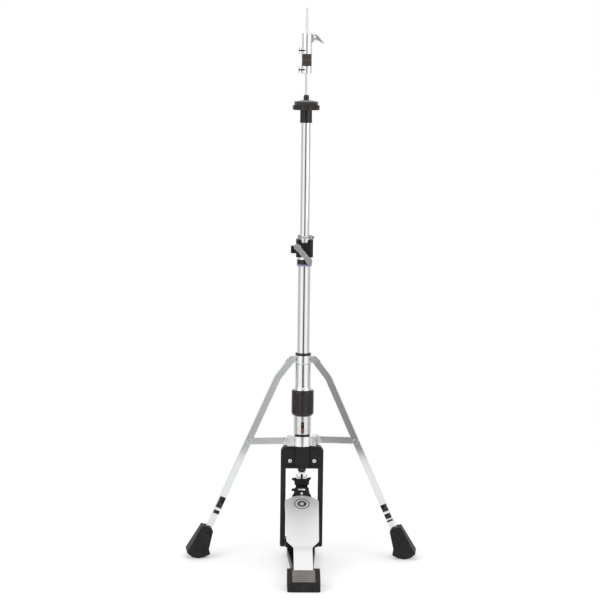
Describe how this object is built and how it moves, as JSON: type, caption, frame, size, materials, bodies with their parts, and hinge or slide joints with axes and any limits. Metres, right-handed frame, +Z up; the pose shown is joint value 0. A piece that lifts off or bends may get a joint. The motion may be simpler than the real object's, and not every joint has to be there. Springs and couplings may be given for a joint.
{
  "type": "hi-hat cymbal stand",
  "caption": "Folding hi-hat cymbal stand with a footboard that pulls a sprung rod, telescoping pole, tilting cymbal seat, rod clutch and braced swivelling legs",
  "frame": {"origin": "on the floor, on the pole's axis", "axes": "+Z up along the pole, the pedal points along -Y, +X to the right seen from the pedal"},
  "size_m": [0.458, 0.314, 1.073],
  "materials": {
    "chrome": "polished chrome plate",
    "leg_chrome": "chrome plate on pressed steel",
    "bright_steel": "zinc plated steel",
    "bright_casting": "chrome plated zinc casting",
    "spring_steel": "oiled spring wire",
    "satin_steel": "satin turned sleeve",
    "satin_aluminium": "long-grain brushed, satin",
    "black_casting": "fine textured black paint",
    "black_steel": "black powder coat",
    "black_plastic": "moulded, satin",
    "purple_nylon": "moulded nylon",
    "brown_plastic": "moulded",
    "rubber": "moulded rubber",
    "heel_rubber": "moulded, fine texture",
    "tread_rubber": "ribbed grey rubber",
    "dark_felt": "pressed wool felt"
  },
  "bodies": {
    "base": {"base_mat": "rubber", "base_plate": "black_steel", "heel_block": "heel_rubber", "heel_tread": "tread_rubber", "heel_pin": "bright_steel", "pedal_frame": "black_casting", "frame_screws": "bright_steel", "arm_bolts": "black_steel", "rod_guide": "black_plastic", "spring_housing": "satin_steel", "swivel_bush": "black_plastic", "lower_tube": "chrome", "main_tube": "chrome", "tube_bush": "purple_nylon", "clamp_band": "black_plastic", "clamp_sleeve": "chrome", "height_bush": "black_plastic", "height_clamp": "black_casting"},
    "footboard": {"footboard": "satin_aluminium", "toe_bracket": "black_steel", "toe_pin": "bright_steel", "toe_screw": "bright_steel"},
    "pull_rod": {"lower_rod": "bright_steel", "rod_coupler": "bright_steel", "upper_rod": "bright_steel", "rod_clevis": "chrome", "clevis_pin": "bright_steel", "spring_collar": "bright_steel", "return_spring": "spring_steel"},
    "drive_strap": {"drive_strap": "black_plastic", "strap_clamp": "black_steel"},
    "tension_knob": {"tension_knob": "black_plastic"},
    "tension_seat": {"tension_seat": "brown_plastic"},
    "upper_tube": {"upper_tube": "chrome", "seat_neck": "black_plastic"},
    "memory_lock": {"memory_lock": "chrome", "lock_screw": "bright_steel"},
    "clamp_wing": {"clamp_wing": "bright_casting"},
    "seat": {"seat_cup": "black_plastic", "seat_felt": "dark_felt", "seat_post": "black_plastic"},
    "tilt_screw": {"tilt_screw": "bright_steel"},
    "clutch": {"clutch_body": "chrome", "clutch_sleeve": "chrome", "upper_nut": "chrome", "felts": "dark_felt"},
    "bottom_nut": {"bottom_nut": "chrome"},
    "clutch_wing": {"clutch_wing": "bright_casting"},
    "leg_swivel": {"swivel_casting": "bright_casting", "brace_pivots": "bright_steel"},
    "leg_collar": {"leg_collar": "bright_casting", "leg_pivots": "bright_steel", "collar_ring": "black_plastic"},
    "leg_left": {"leg_left": "leg_chrome", "foot_left": "rubber"},
    "leg_right": {"leg_right": "leg_chrome", "foot_right": "rubber"},
    "brace_left": {"brace_left": "leg_chrome"},
    "brace_right": {"brace_right": "leg_chrome"}
  },
  "joints": [
    {"name": "pedal_press", "type": "hinge", "parent": "base", "child": "footboard", "pos_m": [0, -0.2192, 0.0246], "axis": [-1, 0, 0], "range_deg": [0, 7], "stiffness_Nm_per_rad": 30, "springref_deg": -9.17},
    {"name": "rod_slide", "type": "slide", "parent": "base", "child": "pull_rod", "axis": [0, 0, -1], "range_m": [0, 0.027], "deforming": ["return_spring"]},
    {"name": "strap_swing", "type": "hinge", "parent": "pull_rod", "child": "drive_strap", "pos_m": [0, 0, 0.1585], "axis": [1, 0, 0], "range_deg": [0, 13.93]},
    {"name": "tension_turn", "type": "hinge", "parent": "base", "child": "tension_knob", "pos_m": [0, 0, 0.305], "axis": [0, 0, 1], "range_deg": [0, 720]},
    {"name": "tension_rise", "type": "slide", "parent": "base", "child": "tension_seat", "axis": [0, 0, 1], "range_m": [0, 0.0116]},
    {"name": "tube_height", "type": "slide", "parent": "base", "child": "upper_tube", "axis": [0, 0, 1], "range_m": [-0.12, 0.03]},
    {"name": "lock_slide", "type": "slide", "parent": "base", "child": "memory_lock", "axis": [0, 0, 1], "range_m": [0, 0.09]},
    {"name": "clamp_wing_turn", "type": "hinge", "parent": "base", "child": "clamp_wing", "pos_m": [-0.003, -0.024, 0.6015], "axis": [0, -1, 0], "continuous": true},
    {"name": "tilt_turn", "type": "hinge", "parent": "seat", "child": "tilt_screw", "pos_m": [0, 0.0188, 0.874], "axis": [0, 0, 1], "range_deg": [0, 360]},
    {"name": "seat_tilt", "type": "hinge", "parent": "upper_tube", "child": "seat", "pos_m": [0, 0, 0.89], "axis": [1, 0, 0], "range_deg": [0, 2.5]},
    {"name": "clutch_slide", "type": "slide", "parent": "pull_rod", "child": "clutch", "axis": [0, 0, 1], "range_m": [-0.012, 0.045]},
    {"name": "nut_turn", "type": "hinge", "parent": "clutch", "child": "bottom_nut", "pos_m": [0, 0, 0.955], "axis": [0, 0, 1], "continuous": true},
    {"name": "clutch_wing_turn", "type": "hinge", "parent": "clutch", "child": "clutch_wing", "pos_m": [0.012, 0, 1.0145], "axis": [1, 0, 0], "continuous": true},
    {"name": "leg_swivel_turn", "type": "hinge", "parent": "base", "child": "leg_swivel", "pos_m": [0, 0, 0.23], "axis": [0, 0, 1], "range_deg": [-30, 30]},
    {"name": "leg_collar_slide", "type": "slide", "parent": "leg_swivel", "child": "leg_collar", "axis": [0, 0, 1], "range_m": [0, 0.0873]},
    {"name": "leg_fold_left", "type": "hinge", "parent": "leg_collar", "child": "leg_left", "pos_m": [-0.02235, -0.00255, 0.392], "axis": [0.1132, -0.9936, 0], "range_deg": [0, 16.3]},
    {"name": "brace_fold_left", "type": "hinge", "parent": "leg_swivel", "child": "brace_left", "pos_m": [-0.02981, -0.0034, 0.231], "axis": [0.1132, -0.9936, 0], "range_deg": [-69, 0]},
    {"name": "leg_fold_right", "type": "hinge", "parent": "leg_collar", "child": "leg_right", "pos_m": [0.02235, -0.00255, 0.392], "axis": [0.1132, 0.9936, 0], "range_deg": [0, 16.3]},
    {"name": "brace_fold_right", "type": "hinge", "parent": "leg_swivel", "child": "brace_right", "pos_m": [0.02981, -0.0034, 0.231], "axis": [0.1132, 0.9936, 0], "range_deg": [-69, 0]}
  ],
  "couplings": [
    {"joint": "rod_slide", "follows": "pedal_press", "m_per_rad": 0.2199},
    {"joint": "strap_swing", "follows": "pedal_press", "ratio": 1.9687},
    {"joint": "tension_rise", "follows": "tension_turn", "m_per_rad": 0.0009151},
    {"joint": "seat_tilt", "follows": "tilt_turn", "ratio": 0.0069444},
    {"joint": "leg_fold_left", "follows": "leg_collar_slide", "rad_per_m": 3.2326},
    {"joint": "brace_fold_left", "follows": "leg_collar_slide", "rad_per_m": -13.722},
    {"joint": "leg_fold_right", "follows": "leg_collar_slide", "rad_per_m": 3.2326},
    {"joint": "brace_fold_right", "follows": "leg_collar_slide", "rad_per_m": -13.722}
  ]
}
